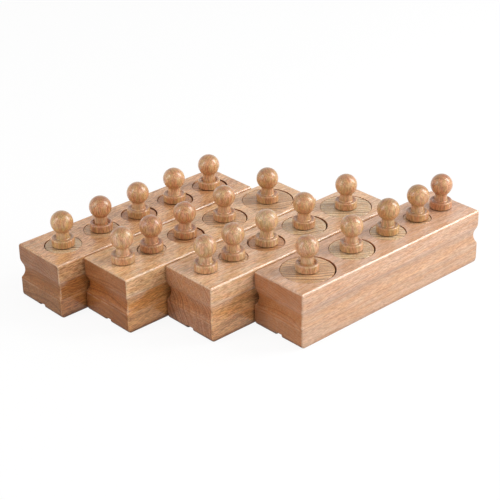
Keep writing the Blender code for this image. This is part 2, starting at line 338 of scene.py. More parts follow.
# How much each part of the figure shows in the colour, the roughness, the lacquer and the height
RINGS_ON_ENDS = 1.7
STREAK_WEIGHTS = {"broad fibres": 0.25, "fine fibres": 1.9, "growth layers": 0.5}
DARK_WOOD_WEIGHT = 0.55
ROUGHER_RINGS = 0.05
ROUGHER_FIBRES = 0.06
ROUGHER_ENDS = 0.08
SUNK_LACQUER = 0.12
FOOT_WITHOUT_LACQUER = 0.9
FIBRE_HEIGHT = -0.5
RING_HEIGHT = 0.3
FLECK_HEIGHT = -0.4
END_GRAIN_FACING = (0.55, 0.95)
GRAIN_BUMP_STRENGTH = 0.55
GRAIN_BUMP_DISTANCE = 0.06 * MM

# Painted light and shade: how pale the painted highlights on edges, the lip and knob necks are, and the
# heights in millimetres at which they, the painted groove bounce and the painted foot shade lie
UPPER_BOARD_PAINTED_LIGHT = {"edges": 0.26}
LOWER_BOARD_PAINTED_LIGHT = {"foot": 5.0, "groove": (14.0, 29.0), "edges": 0.20, "lip": 15.6}
KNOB_PAINTED_LIGHT = {"foot": 0.9, "lit neck": (5.5, 13.0), "pale lit neck": 0.18}
ROUNDED_FACING = (0.74, 0.93)
LIP_REACH = (0.2, 1.1)
LIP_SHARE = 0.5
# How softly the painted bands on the ends and the necks fade in, in millimetres
BAND_FADE = 2.0
GLUE_LINE_FADE = 3.0

# Lacquers
BOARD_LACQUER = {"Specular IOR Level": 0.2, "Coat Roughness": 0.18}
CYLINDER_LACQUER = {"Specular IOR Level": 0.2, "Coat Roughness": 0.22}
KNOB_LACQUER = {"Specular IOR Level": 0.2, "Coat Roughness": 0.26}

# Nodes: a colour mix's sockets by number, because its kinds share their names
MIX_FIRST_COLOUR = 6
MIX_SECOND_COLOUR = 7
MIX_RESULT_COLOUR = 2

# The beech group's inputs with their plain values, and its outputs
BEECH_INPUTS = (
    ("Place", "NodeSocketVector", (0.0, 0.0, 0.0)),
    ("Facing Along Grain", "NodeSocketFloat", 0.0),
    ("Light Wood", "NodeSocketColor", WHITE),
    ("Dark Wood", "NodeSocketColor", WHITE),
    ("End Tint", "NodeSocketColor", WHITE),
    ("Ring Width", "NodeSocketFloat", 3.5),
    ("Rings", "NodeSocketFloat", 0.5),
    ("Streaks", "NodeSocketFloat", 0.5),
    ("Flecks", "NodeSocketFloat", 0.5),
    ("Clouds", "NodeSocketFloat", 0.5),
    ("Mottle", "NodeSocketFloat", 0.3),
    # The next four inputs take masks of painted light and shade: groove bounce, flat shade, highlights
    # with neck light, and foot shade
    ("Painted Groove Bounce", "NodeSocketFloat", 0.0),
    ("Painted Flat Shade", "NodeSocketFloat", 0.0),
    ("Painted Light", "NodeSocketFloat", 0.0),
    ("Foot", "NodeSocketFloat", 0.0),
    ("Foot On Sides", "NodeSocketFloat", 0.8),
    ("Roughness", "NodeSocketFloat", 0.4),
    ("Coat", "NodeSocketFloat", 0.6),
    ("End Coat", "NodeSocketFloat", 0.6),
)
BEECH_OUTPUTS = (
    ("Colour", "NodeSocketColor"),
    ("Roughness", "NodeSocketFloat"),
    ("Height", "NodeSocketFloat"),
    ("Coat", "NodeSocketFloat"),
)


def arc(centre_along, centre_up, radius, start, end, steps):
    """Points on an arc from one angle to another, both in degrees, as (along, up)."""
    points = []
    for step in range(steps + 1):
        angle = math.radians(start + (end - start) * step / steps)
        points.append((centre_along + radius * math.cos(angle), centre_up + radius * math.sin(angle)))
    return points


def daylight(colour):
    """Turn a colour out of 255 into the linear values that a shader takes, by the sRGB curve."""
    values = []
    for channel in colour:
        value = channel / 255
        if value <= 0.04045:
            values.append(value / 12.92)
        else:
            values.append(((value + 0.055) / 1.055) ** 2.4)
    return (*values, 1.0)


def direction(azimuth, elevation):
    """The direction from the set to a viewer: azimuth 0 is in front, and it turns towards +X."""
    across = math.cos(elevation)
    return Vector((math.sin(azimuth) * across, -math.cos(azimuth) * across, math.sin(elevation)))


def add_camera():
    """The camera, where the photograph was taken from."""
    azimuth = math.radians(CAMERA_AZIMUTH)
    roll = math.radians(CAMERA_ROLL)
    back = direction(azimuth, math.radians(CAMERA_ELEVATION))
    level = Vector((math.cos(azimuth), math.sin(azimuth), 0.0))
    upright = back.cross(level)
    right = level * math.cos(roll) + upright * math.sin(roll)
    up = upright * math.cos(roll) - level * math.sin(roll)
    settings = bpy.data.cameras.new("camera")
    settings.lens = LENS
    settings.sensor_width = SENSOR
    settings.clip_start = NEAREST_SEEN
    settings.clip_end = FARTHEST_SEEN
    camera = bpy.data.objects.new("camera", settings)
    bpy.context.scene.collection.objects.link(camera)
    place = right * CAMERA_ASIDE + up * CAMERA_ABOVE + back * CAMERA_DISTANCE
    facing = Matrix((right, up, back)).transposed().to_4x4()
    camera.matrix_world = Matrix.Translation(place) @ facing
    bpy.context.scene.camera = camera


def add_lamp(lamp):
    """A soft box that faces the set. At a strength of 1, it alone lights a white face to plain white."""
    settings = bpy.data.lights.new(lamp["name"], "AREA")
    settings.shape = "RECTANGLE"
    settings.size, settings.size_y = lamp["size"]
    settings.color = WARM_LIGHT if lamp["name"] in WARM_LAMPS else WHITE[:3]
    settings.energy = lamp["strength"] * math.pi ** 2 * LAMP_DISTANCE ** 2
    towards = Vector(lamp["towards"]).normalized()
    holder = bpy.data.objects.new(lamp["name"], settings)
    holder.location = towards * LAMP_DISTANCE
    holder.rotation_mode = "QUATERNION"
    holder.rotation_quaternion = (-towards).to_track_quat("-Z", "Y")
    holder.visible_camera = False
    bpy.context.scene.collection.objects.link(holder)


def add_node(tree, kind, label, **settings):
    """A node with a plain name and the given settings."""
    node = tree.nodes.new(kind)
    node.name = label
    node.label = label
    for setting, value in settings.items():
        setattr(node, setting, value)
    return node


def feed(tree, socket, source):
    """Lead another node's output into a socket, or give the socket a plain value."""
    if isinstance(source, bpy.types.NodeSocket):
        tree.links.new(source, socket)
    else:
        socket.default_value = source


def calculate(tree, label, operation, *sources, clamped=False):
    """The result of a sum on values."""
    node = add_node(tree, "ShaderNodeMath", label, operation=operation, use_clamp=clamped)
    for socket, source in zip(node.inputs, sources):
        feed(tree, socket, source)
    return node.outputs["Value"]


def calculate_vector(tree, label, operation, *sources):
    """The result of a sum on vectors, which is a value for a length or a dot product."""
    node = add_node(tree, "ShaderNodeVectorMath", label, operation=operation)
    for socket, source in zip(node.inputs, sources):
        feed(tree, socket, source)
    return node.outputs["Value" if operation in ("LENGTH", "DOT_PRODUCT") else "Vector"]


def noise(tree, label, place, size, detail=2.0, roughness=0.5):
    """Soft noise whose lumps have the given sizes in millimetres across, across and along the grain."""
    scaled = calculate_vector(tree, label + " size", "DIVIDE", place, size)
    node = add_node(tree, "ShaderNodeTexNoise", label)
    feed(tree, node.inputs["Vector"], scaled)
    node.inputs["Scale"].default_value = 1.0
    node.inputs["Detail"].default_value = detail
    node.inputs["Roughness"].default_value = roughness
    return node


def spread(tree, label, source, low, high, to_low=0.0, to_high=1.0):
    """Spread a value between two limits out to another range, with smooth ends."""
    node = add_node(tree, "ShaderNodeMapRange", label, interpolation_type="SMOOTHSTEP")
    feed(tree, node.inputs["Value"], source)
    limits = {"From Min": low, "From Max": high, "To Min": to_low, "To Max": to_high}
    for name, value in limits.items():
        feed(tree, node.inputs[name], value)
    return node.outputs["Result"]


def lumps(tree, label, place, lowest=0.0):
    """A mask of soft lumps that are named in LUMPS, from a lowest value up to 1."""
    facts = LUMPS[label]
    source = noise(tree, label, place, facts["size"], facts["detail"], facts["roughness"])
    return spread(tree, label + " mask", source.outputs["Fac"], *facts["limits"], lowest, 1.0)


def blend_colours(tree, label, share, first, second, kind="MIX"):
    """Mix two colours by a share."""
    node = add_node(tree, "ShaderNodeMix", label, data_type="RGBA", blend_type=kind)
    feed(tree, node.inputs["Factor"], share)
    feed(tree, node.inputs[MIX_FIRST_COLOUR], first)
    feed(tree, node.inputs[MIX_SECOND_COLOUR], second)
    return node.outputs[MIX_RESULT_COLOUR]


def new_group(name, inputs, outputs):
    """A shader node group with named sockets, and its input and output nodes."""
    tree = bpy.data.node_groups.new(name, "ShaderNodeTree")
    for label, kind, value in inputs:
        socket = tree.interface.new_socket(label, in_out="INPUT", socket_type=kind)
        socket.default_value = value
    for label, kind in outputs:
        tree.interface.new_socket(label, in_out="OUTPUT", socket_type=kind)
    entry = add_node(tree, "NodeGroupInput", "inputs").outputs
    result = add_node(tree, "NodeGroupOutput", "outputs").inputs
    return tree, entry, result


def growth_rings(tree, entry):
    """The growth rings, and the place as the ways out from the tree's heart, round it and along it."""
    place = entry["Place"]
    wander = noise(tree, "wandering grain", place, WANDER_SIZE, detail=1.0)
    middle = (0.5, 0.5, 0.5)
    centred = calculate_vector(tree, "wander both ways", "SUBTRACT", wander.outputs["Color"], middle)
    moved = calculate_vector(tree, "wander in mm", "MULTIPLY", centred, WANDER_REACH)
    wandered = calculate_vector(tree, "wandered place", "ADD", place, moved)
    parts = add_node(tree, "ShaderNodeSeparateXYZ", "parts of the place")
    feed(tree, parts.inputs["Vector"], wandered)
    flat = calculate_vector(tree, "across the grain", "MULTIPLY", wandered, (1.0, 1.0, 0.0))
    radius = calculate_vector(tree, "distance from the heart", "LENGTH", flat)
    angle = calculate(tree, "angle round the heart", "ARCTAN2", parts.outputs["Y"], parts.outputs["X"])
    round_way = calculate(tree, "way round the heart", "MULTIPLY", angle, MM_ROUND_PER_RADIAN)
    polar = add_node(tree, "ShaderNodeCombineXYZ", "out, round and along")
    feed(tree, polar.inputs["X"], radius)
    feed(tree, polar.inputs["Y"], round_way)
    feed(tree, polar.inputs["Z"], parts.outputs["Z"])
    ways = polar.outputs["Vector"]

    uneven = noise(tree, "uneven years", ways, UNEVEN_YEARS_SIZE)
    years = calculate(tree, "years", "DIVIDE", radius, entry["Ring Width"])
    counted = calculate(tree, "counted years", "MULTIPLY_ADD", uneven.outputs["Fac"], UNEVEN_YEARS, years)
    season = calculate(tree, "season", "FRACT", counted)
    growth = spread(tree, "late wood", season, LATE_WOOD_START, WINTER_START)
    winter = spread(tree, "winter line", season, WINTER_START, 1.0, 1.0, 0.0)
    ring = calculate(tree, "ring", "MULTIPLY", growth, winter)
    luck = add_node(tree, "ShaderNodeTexWhiteNoise", "how good the year was", noise_dimensions="1D")
    feed(tree, luck.inputs["W"], calculate(tree, "year", "FLOOR", counted))
    depth = spread(tree, "how dark the year is", luck.outputs["Value"], 0.0, 1.0, FAINTEST_YEAR, 1.0)
    return calculate(tree, "rings", "MULTIPLY", ring, depth), ways


def ray_flecks(tree, place, end):
    """Short ray flecks, thick in patches, with none on the ends."""
    scaled = calculate_vector(tree, "fleck size", "DIVIDE", place, FLECK_SIZE)
    cells = add_node(tree, "ShaderNodeTexVoronoi", "ray cells", feature="F1")
    feed(tree, cells.inputs["Vector"], scaled)
    cells.inputs["Scale"].default_value = 1.0
    fleck = spread(tree, "ray flecks", cells.outputs["Distance"], *FLECK_LIMITS, 1.0, 0.0)
    side = calculate(tree, "no flecks on ends", "SUBTRACT", 1.0, end, clamped=True)
    flecks = calculate(tree, "flecks on faces", "MULTIPLY", fleck, side)
    patches = lumps(tree, "fleck patches", place, FEWEST_FLECKS)
    return calculate(tree, "flecks in patches", "MULTIPLY", flecks, patches)


def dark_wood_share(tree, entry, rings, masks):
    """How much of the dark wood shows, from the rings, the streaks and the clouds."""
    end = entry["Facing Along Grain"]
    strength = spread(tree, "rings show more on ends", end, 0.0, 1.0, 1.0, RINGS_ON_ENDS)
    shown = calculate(tree, "rings by facing", "MULTIPLY", rings, strength)
    dark = calculate(tree, "dark from rings", "MULTIPLY", shown, entry["Rings"])
    for label, weight in STREAK_WEIGHTS.items():
        share = calculate(tree, label + " share", "MULTIPLY", entry["Streaks"], weight)
        dark = calculate(tree, "dark from " + label, "MULTIPLY_ADD", masks[label], share, dark)
    dark = calculate(tree, "dark from clouds", "MULTIPLY_ADD", masks["clouds"], entry["Clouds"], dark)
    return calculate(tree, "dark wood share", "MULTIPLY", dark, DARK_WOOD_WEIGHT, clamped=True)


def fresh_wood(tree, entry, dark, flecks):
    """The colour of the wood as it grew, with flecks, warm streaks, end grain and mottled patches."""
    place = entry["Place"]
    wood = blend_colours(tree, "light and dark wood", dark, entry["Light Wood"], entry["Dark Wood"])
    share = calculate(tree, "fleck share", "MULTIPLY", flecks, entry["Flecks"])
    wood = blend_colours(tree, "wood with flecks", share, wood, daylight(FLECK_TINT), "MULTIPLY")
    warm = lumps(tree, "warm streaks", place)
    wood = blend_colours(tree, "warmer wood", warm, wood, daylight(WARM_TINT), "MULTIPLY")
    end = entry["Facing Along Grain"]
    wood = blend_colours(tree, "tinted end grain", end, wood, entry["End Tint"], "MULTIPLY")
    pink = lumps(tree, "pink patches", place)
    tint = blend_colours(tree, "patch tint", pink, daylight(YELLOW_TINT), daylight(PINK_TINT))
    return blend_colours(tree, "mottled wood", entry["Mottle"], wood, tint, "MULTIPLY")


def used_wood(tree, entry, wood, foot):
    """The wood's colour with painted light and shade on it: a painted warm bounce in the ends' groove and
    painted shade on the flat below it, painted highlights on edges with painted light on knob necks, and
    painted shade along the foot.
    """
    # Painted warm bounce in the groove and painted shade below its lip, on the ends only
    for label, tint in (("Painted Groove Bounce", GROOVE_BOUNCE_TINT), ("Painted Flat Shade", FLAT_SHADE_TINT)):
        way = label.lower()
        share = calculate(tree, way + " ends", "MULTIPLY", entry[label], entry["Facing Along Grain"])
        wood = blend_colours(tree, way + " wood", share, wood, daylight(tint), "MULTIPLY")
    # Painted highlights on edges and the lip, and painted light on knob necks, in patches
    light_patches = lumps(tree, "painted light patches", entry["Place"], LEAST_PAINTED_LIGHT)
    worn = calculate(tree, "worn edges", "MULTIPLY", entry["Painted Light"], light_patches)
    wood = blend_colours(tree, "wood with worn edges", worn, wood, daylight(PAINTED_LIGHT_TONE))
    # Painted shade along the foot
    return blend_colours(tree, "painted foot shade", foot, wood, daylight(FOOT_SHADE_TINT), "MULTIPLY")


def wood_roughness(tree, entry, rings, masks):
    """The roughness of the wood: more on its rings, its broad fibres and its ends."""
    rough = calculate(tree, "rough rings", "MULTIPLY_ADD", rings, ROUGHER_RINGS, entry["Roughness"])
    rough = calculate(tree, "rough fibres", "MULTIPLY_ADD", masks["broad fibres"], ROUGHER_FIBRES, rough)
    end = entry["Facing Along Grain"]
    return calculate(tree, "rough end grain", "MULTIPLY_ADD", end, ROUGHER_ENDS, rough)


def lacquer_left(tree, entry, fine, foot):
    """How much lacquer lies on the wood: less on ends, over fine fibres and along the foot."""
    end = entry["Facing Along Grain"]
    coat = spread(tree, "lacquer by facing", end, 0.0, 1.0, entry["Coat"], entry["End Coat"])
    sunk = calculate(tree, "sunk into the pores", "MULTIPLY_ADD", fine, -SUNK_LACQUER, 1.0)
    coat = calculate(tree, "lacquer", "MULTIPLY", coat, sunk)
    bare = calculate(tree, "gone from the foot", "MULTIPLY_ADD", foot, -FOOT_WITHOUT_LACQUER, 1.0)
    return calculate(tree, "lacquer left", "MULTIPLY", coat, bare)


def grain_height(tree, rings, fine, flecks):
    """The height of the grain under the lacquer."""
    height = calculate(tree, "fibre height", "MULTIPLY", fine, FIBRE_HEIGHT)
    height = calculate(tree, "ring height", "MULTIPLY_ADD", rings, RING_HEIGHT, height)
    return calculate(tree, "fleck height", "MULTIPLY_ADD", flecks, FLECK_HEIGHT, height)


def beech_group():
    """Solid beech, in millimetres from the tree's heart: rings round Z, streaks and flecks along it."""
    tree, entry, result = new_group("beech", BEECH_INPUTS, BEECH_OUTPUTS)
    place = entry["Place"]
    end = entry["Facing Along Grain"]
    rings, ways = growth_rings(tree, entry)
    masks = {label: lumps(tree, label, place) for label in ("fine fibres", "broad fibres", "clouds")}
    masks["growth layers"] = lumps(tree, "growth layers", ways)
    flecks = ray_flecks(tree, place, end)
    # Painted shade along the foot, weaker on the sides; the same mask takes the lacquer off there
    foot_share = spread(tree, "foot by facing", end, 0.0, 1.0, entry["Foot On Sides"], 1.0)
    foot = calculate(tree, "foot share", "MULTIPLY", entry["Foot"], foot_share)
    dark = dark_wood_share(tree, entry, rings, masks)
    wood = fresh_wood(tree, entry, dark, flecks)
    feed(tree, result["Colour"], used_wood(tree, entry, wood, foot))
    feed(tree, result["Roughness"], wood_roughness(tree, entry, rings, masks))
    feed(tree, result["Coat"], lacquer_left(tree, entry, masks["fine fibres"], foot))
    feed(tree, result["Height"], grain_height(tree, rings, masks["fine fibres"], flecks))
    return tree


def painted_edge_highlights(tree, normal, height, painted_light):
    """Where a board gets painted highlights: on its rounded edges, and on the crest of its groove's lower
    lip.
    """
    ways = calculate_vector(tree, "facing, without a sign", "ABSOLUTE", normal)
    facings = add_node(tree, "ShaderNodeSeparateXYZ", "parts of the facing")
    feed(tree, facings.inputs["Vector"], ways)
    level = calculate(tree, "facing a side", "MAXIMUM", facings.outputs["X"], facings.outputs["Y"])
    most = calculate(tree, "facing one way", "MAXIMUM", level, facings.outputs["Z"])
    edge = spread(tree, "on a rounded edge", most, *ROUNDED_FACING, painted_light["edges"], 0.0)
    if "lip" in painted_light:
        crest = calculate(tree, "height from the lip", "SUBTRACT", height, painted_light["lip"])
        away = calculate(tree, "distance from the lip", "ABSOLUTE", crest)
        lip = spread(tree, "on the lip", away, *LIP_REACH, LIP_SHARE * painted_light["edges"], 0.0)
        edge = calculate(tree, "edge or lip", "MAXIMUM", edge, lip)
    return edge


def painted_light_masks(tree, coordinates, painted_light):
    """Where a piece gets painted light and shade, from its height in millimetres: painted highlights on
    edges and lip, a painted bounce and shade on the ends, painted light on the neck and painted shade
    along the foot.
    """
    parts = add_node(tree, "ShaderNodeSeparateXYZ", "parts of the place on the piece")
    feed(tree, parts.inputs["Vector"], coordinates.outputs["Object"])
    height = calculate(tree, "height in mm", "MULTIPLY", parts.outputs["Z"], MM_PER_METRE)
    masks = []
    # Painted shade along the foot
    if "foot" in painted_light:
        masks.append(("Foot", spread(tree, "near the foot", height, 0.0, painted_light["foot"], 1.0, 0.0)))
    # Painted warm bounce in the groove, and painted shade on the flat below its lower lip
    if "groove" in painted_light:
        low, high = painted_light["groove"]
        above = spread(tree, "above the lower lip", height, low, low + BAND_FADE)
        start, end = high - BAND_FADE, high + GLUE_LINE_FADE
        masks.append(("Painted Groove Bounce", spread(tree, "below the glue line", height, start, end, above, 0.0)))
        masks.append(("Painted Flat Shade", calculate(tree, "below the lower lip", "SUBTRACT", 1.0, above)))
    # Painted light on a knob's neck, between its flange and its ball
    if "lit neck" in painted_light:
        low, high = painted_light["lit neck"]
        above = spread(tree, "above the flange", height, low, low + BAND_FADE, 0.0, painted_light["pale lit neck"])
        pale = spread(tree, "below the ball", height, high - BAND_FADE, high, above, 0.0)
        masks.append(("Painted Light", pale))
    # Painted highlights on rounded edges and on the lip
    if "edges" in painted_light:
        masks.append(("Painted Light", painted_edge_highlights(tree, coordinates.outputs["Normal"], height, painted_light)))
    return masks


def lacquered_beech(name, group, wood_tones, end_tint, cut, look, painted_light, lacquer):
    """Lacquered beech for one piece, cut from its own place in the tree.

    cut holds the piece's rotation that brings its grain to Z, in degrees, where the piece lies
    from the tree's heart, in millimetres, and the way that its grain runs. look holds values
    of the figure and finish, the table after it says where light and shade are painted on, and lacquer
    holds the shader's values.
    """
    turn, heart, grain = cut
    material = bpy.data.materials.new(name)
    material.use_nodes = True
    tree = material.node_tree
    shader = tree.nodes["Principled BSDF"]
    coordinates = add_node(tree, "ShaderNodeTexCoord", "place on the piece")
    mapping = add_node(tree, "ShaderNodeMapping", "place in the tree", vector_type="POINT")
    feed(tree, mapping.inputs["Vector"], coordinates.outputs["Object"])
    mapping.inputs["Location"].default_value = heart
    mapping.inputs["Rotation"].default_value = [math.radians(angle) for angle in turn]
    mapping.inputs["Scale"].default_value = (MM_PER_METRE, MM_PER_METRE, MM_PER_METRE)
    normal = coordinates.outputs["Normal"]
    facing = calculate_vector(tree, "facing along the grain", "DOT_PRODUCT", normal, grain)
    either_way = calculate(tree, "facing either way", "ABSOLUTE", facing)
    end = spread(tree, "end grain", either_way, *END_GRAIN_FACING)
    wood = add_node(tree, "ShaderNodeGroup", "beech")
    wood.node_tree = group
    feed(tree, wood.inputs["Place"], mapping.outputs["Vector"])
    feed(tree, wood.inputs["Facing Along Grain"], end)
    wood.inputs["Light Wood"].default_value = daylight(wood_tones[0])
    wood.inputs["Dark Wood"].default_value = daylight(wood_tones[1])
    wood.inputs["End Tint"].default_value = daylight(end_tint)
    for label, value in look.items():
        wood.inputs[label].default_value = value
    for label, mask in painted_light_masks(tree, coordinates, painted_light):
        feed(tree, wood.inputs[label], mask)
    bump = add_node(tree, "ShaderNodeBump", "grain under the lacquer")
    bump.inputs["Strength"].default_value = GRAIN_BUMP_STRENGTH
    bump.inputs["Distance"].default_value = GRAIN_BUMP_DISTANCE
    feed(tree, bump.inputs["Height"], wood.outputs["Height"])
    feed(tree, shader.inputs["Base Color"], wood.outputs["Colour"])
    feed(tree, shader.inputs["Roughness"], wood.outputs["Roughness"])
    feed(tree, shader.inputs["Normal"], bump.outputs["Normal"])
    feed(tree, shader.inputs["Coat Weight"], wood.outputs["Coat"])
    for label, value in lacquer.items():
        shader.inputs[label].default_value = value
    return material


def groove_reach(lip_radius):
    """How far a lip with the given radius ends from the groove's middle."""
    both = GROOVE_RADIUS + lip_radius
    return math.sqrt(2 * GROOVE_DEPTH * both - GROOVE_DEPTH ** 2)


def groove_rows():
    """The outline of the finger groove, from its lower lip to its upper lip, as (depth, up)."""
    low, high = GROOVE_LOWER_LIP_RADIUS, GROOVE_UPPER_LIP_RADIUS
    low_sweep = math.degrees(math.asin(groove_reach(low) / (GROOVE_RADIUS + low)))
    high_sweep = math.degrees(math.asin(groove_reach(high) / (GROOVE_RADIUS + high)))
    floor_centre = GROOVE_DEPTH - GROOVE_RADIUS
    rows = arc(low, GROOVE_HEIGHT - groove_reach(low), low, 180, 180 - low_sweep, GROOVE_STEPS)
    floor = arc(floor_centre, GROOVE_HEIGHT, GROOVE_RADIUS, -low_sweep, high_sweep, 2 * GROOVE_STEPS)
    rows += floor[1:-1]
    rows += arc(high, GROOVE_HEIGHT + groove_reach(high), high, 180 + high_sweep, 180, GROOVE_STEPS)
    return rows


def drawn_in(radius, distance):
    """How far a round of some radius draws a face in, at a distance from the end of the face."""
    if distance >= radius:
        return 0.0
    return radius - math.sqrt(radius ** 2 - (radius - distance) ** 2)


def eased_in(radius, distance):
    """How far an eased edge, flatter than a round in its middle, draws a face in."""
    if distance >= radius:
        return 0.0
    share = 1 - (1 - distance / radius) ** EASED_EDGE_POWER
    return radius * (1 - share ** (1 / EASED_EDGE_POWER))


def round_heights(radius):
    """The heights of the steps of a round, from the end of the face."""
    return [radius - point[1] for point in arc(0.0, 0.0, radius, 90, 0, EDGE_STEPS)]


def block_rows(height):
    """A block's rows from foot to top, as (drawn in across, drawn in along, corner radius, up)."""
    foot = sorted({*round_heights(EDGE_ROUND), *round_heights(END_FOOT_ROUND)})
    depths = {*round_heights(EDGE_ROUND), *round_heights(END_TOP_ROUND)}
    top = sorted(height - depth for depth in depths)
    rows = []
    for up in foot:
        side = drawn_in(EDGE_ROUND, up)
        end = drawn_in(END_FOOT_ROUND, up)
        rows.append((side, end, max(EDGE_ROUND - side, SHARPEST_CORNER), up))
    rows += [(depth, depth, EDGE_ROUND, up) for depth, up in groove_rows()]
    for up in top:
        side = eased_in(EDGE_ROUND, height - up)
        end = drawn_in(END_TOP_ROUND, height - up)
        rows.append((side, end, max(EDGE_ROUND - side, SHARPEST_CORNER), up))
    return rows


def row_of_points(shape, half_width, half_length, corner, middle, up):
    """A level loop of points round a block, with rounded corners."""
    points = []
    for turn, (across, along) in enumerate(((1, 1), (-1, 1), (-1, -1), (1, -1))):
        centre_across = across * (half_width - corner)
        centre_along = middle + along * (half_length - corner)
        for x, y in arc(centre_across, centre_along, corner, 90 * turn, 90 * turn + 90, CORNER_STEPS):
            points.append(shape.verts.new((x, y, up)))
    return points


def block_blank(width, length, height):
    """A whole block with its rounded edges and its finger groove, from its near end, as a mesh shape."""
    shape = bmesh.new()
    middle = length / 2
    loops = []
    for across, along, corner, up in block_rows(height):
        loops.append(row_of_points(shape, width / 2 - across, middle - along, corner, middle, up))
    for lower, upper in zip(loops, loops[1:]):
        for index in range(len(lower)):
            following = (index + 1) % len(lower)
            shape.faces.new((lower[index], lower[following], upper[following], upper[index]))
    shape.faces.new(loops[0])
    shape.faces.new(loops[-1])
    bmesh.ops.recalc_face_normals(shape, faces=shape.faces)
    return shape


def cut_level(shape, height, keep_above):
    """Cut a shape at a height, keep one side and close it."""
    geometry = list(shape.verts) + list(shape.edges) + list(shape.faces)
    bmesh.ops.bisect_plane(
        shape,
        geom=geometry,
        plane_co=(0.0, 0.0, height),
        plane_no=(0.0, 0.0, 1.0),
        clear_outer=not keep_above,
        clear_inner=keep_above,
    )
    open_edges = [edge for edge in shape.edges if edge.is_boundary]
    bmesh.ops.contextual_create(shape, geom=open_edges)
    bmesh.ops.recalc_face_normals(shape, faces=shape.faces)


def turn_profile(shape, profile, sides, centre=(0.0, 0.0)):
    """Turn (radius, up) points, which start and end on the axis, about it into a closed shape."""
    rings = []
    for radius, up in profile:
        if radius == 0.0:
            rings.append([shape.verts.new((*centre, up))])
            continue
        ring = []
        for side in range(sides):
            angle = math.tau * side / sides
            x = centre[0] + radius * math.cos(angle)
            y = centre[1] + radius * math.sin(angle)
            ring.append(shape.verts.new((x, y, up)))
        rings.append(ring)
    for upper, lower in zip(rings, rings[1:]):
        for side in range(sides):
            following = (side + 1) % sides
            corners = [upper[side % len(upper)], lower[side % len(lower)]]
            if len(lower) > 1:
                corners.append(lower[following])
            if len(upper) > 1:
                corners.append(upper[following])
            shape.faces.new(corners)


def hole_plugs(block):
    """The shapes that cut all the holes of a block, with softly rounded mouths."""
    shape = bmesh.new()
    top = block["height"]
    for hole in block["holes"]:
        radius = hole["radius"]
        wide = radius + HOLE_MOUTH_ROUND
        mouth = arc(wide, top - HOLE_MOUTH_ROUND, HOLE_MOUTH_ROUND, 90, 180, MOUTH_STEPS)
        profile = [(0.0, top + OVERRUN), (wide, top + OVERRUN), *mouth]
        profile += [(radius, hole["floor"]), (0.0, hole["floor"])]
        turn_profile(shape, profile, HOLE_SIDES, hole["centre"])
    bmesh.ops.recalc_face_normals(shape, faces=shape.faces)
    return shape


def foot_groove(block):
    """The shape that cuts the groove along a block's underside."""
    shape = bmesh.new()
    bmesh.ops.create_cube(shape, size=1)
    height = FOOT_GROOVE_DEPTH + OVERRUN
    size = (FOOT_GROOVE_WIDTH, block["length"] + 2 * OVERRUN, height)
    middle = (0.0, block["length"] / 2, FOOT_GROOVE_DEPTH - height / 2)
    bmesh.ops.transform(shape, matrix=Matrix.Diagonal((*size, 1.0)), verts=shape.verts)
    bmesh.ops.translate(shape, vec=middle, verts=shape.verts)
    return shape


def new_object(name, shape):
    """An object with the given shape, which is used up."""
    mesh = bpy.data.meshes.new(name)
    shape.to_mesh(mesh)
    shape.free()
    piece = bpy.data.objects.new(name, mesh)
    bpy.context.scene.collection.objects.link(piece)
    return piece


def cut_away(piece, cutters):
    """Cut shapes out of a piece and leave a plain mesh."""
    tools = []
    for shape in cutters:
        tool = new_object(piece.name + "_tool", shape)
        tools.append(tool)
        cut = piece.modifiers.new(tool.name, "BOOLEAN")
        cut.operation = "DIFFERENCE"
        cut.solver = "EXACT"
        cut.object = tool
    bpy.context.view_layer.update()
    evaluated = piece.evaluated_get(bpy.context.evaluated_depsgraph_get())
    mesh = bpy.data.meshes.new_from_object(evaluated)
    piece.modifiers.clear()
    piece.data = mesh
    mesh.name = piece.name
    for tool in tools:
        bpy.data.objects.remove(tool, do_unlink=True)
    shape = bmesh.new()
    shape.from_mesh(mesh)
    bmesh.ops.remove_doubles(shape, verts=shape.verts, dist=SAME_PLACE)
    shape.to_mesh(mesh)
    shape.free()


def finish_piece(piece, node, body, material):
    """Smooth a piece, give it its wood, and let it stand for its CAD node on that node's body."""
    piece.data.shade_smooth()
    piece.data.set_sharp_from_angle(angle=math.radians(SMOOTH_DEGREES))
    flat_faces = piece.modifiers.new("flat_faces_stay_flat", "WEIGHTED_NORMAL")
    flat_faces.keep_sharp = True
    flat_faces.weight = FLAT_FACE_WEIGHT
    piece.data.materials.clear()
    piece.data.materials.append(material)
    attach(piece, body)
    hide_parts(node)


def measure_block(number):
    """A block's place and sizes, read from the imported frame."""
    name = f"block_{number}"
    lower_low, lower_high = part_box(name + "_lower_board")
    upper_low, upper_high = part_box(name + "_upper_board")
    block = {
        "name": name,
        "index": number - 1,
        "origin": Vector(((lower_low.x + lower_high.x) / 2, lower_low.y, lower_low.z)),
        "width": lower_high.x - lower_low.x,
        "length": lower_high.y - lower_low.y,
        "height": upper_high.z - lower_low.z,
        "glue_line": (lower_high.z + upper_low.z) / 2 - lower_low.z,
        "holes": [],
    }
    edge = END_WALL
    for cylinder in range(1, CYLINDERS_PER_BLOCK + 1):
        low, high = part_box(f"{name}_cylinder_{cylinder}")
        radius = (high.x - low.x) / 2
        hole_radius = radius + HOLE_CLEARANCE
        seat = (low + high) / 2 - block["origin"]
        gap = LEAN_GAP * LEAN_SHARES[block["index"]][cylinder - 1]
        lean = Vector((seat.x, seat.y - edge - hole_radius)).normalized() * gap
        block["holes"].append(
            {
                "centre": (seat.x - lean.x, seat.y - lean.y),
                "radius": radius + gap + CLOSEST_GAP,
                "floor": low.z - FLOOR_GAP,
            }
        )
        edge += 2 * hole_radius + WEB_WALL
    return block


def own_number(block, piece):
    """A number from 0 to 1 of each piece's own, the same in every run."""
    return (OWN_START + OWN_STEP * (piece + PIECES_PER_BLOCK * block)) % 1.0


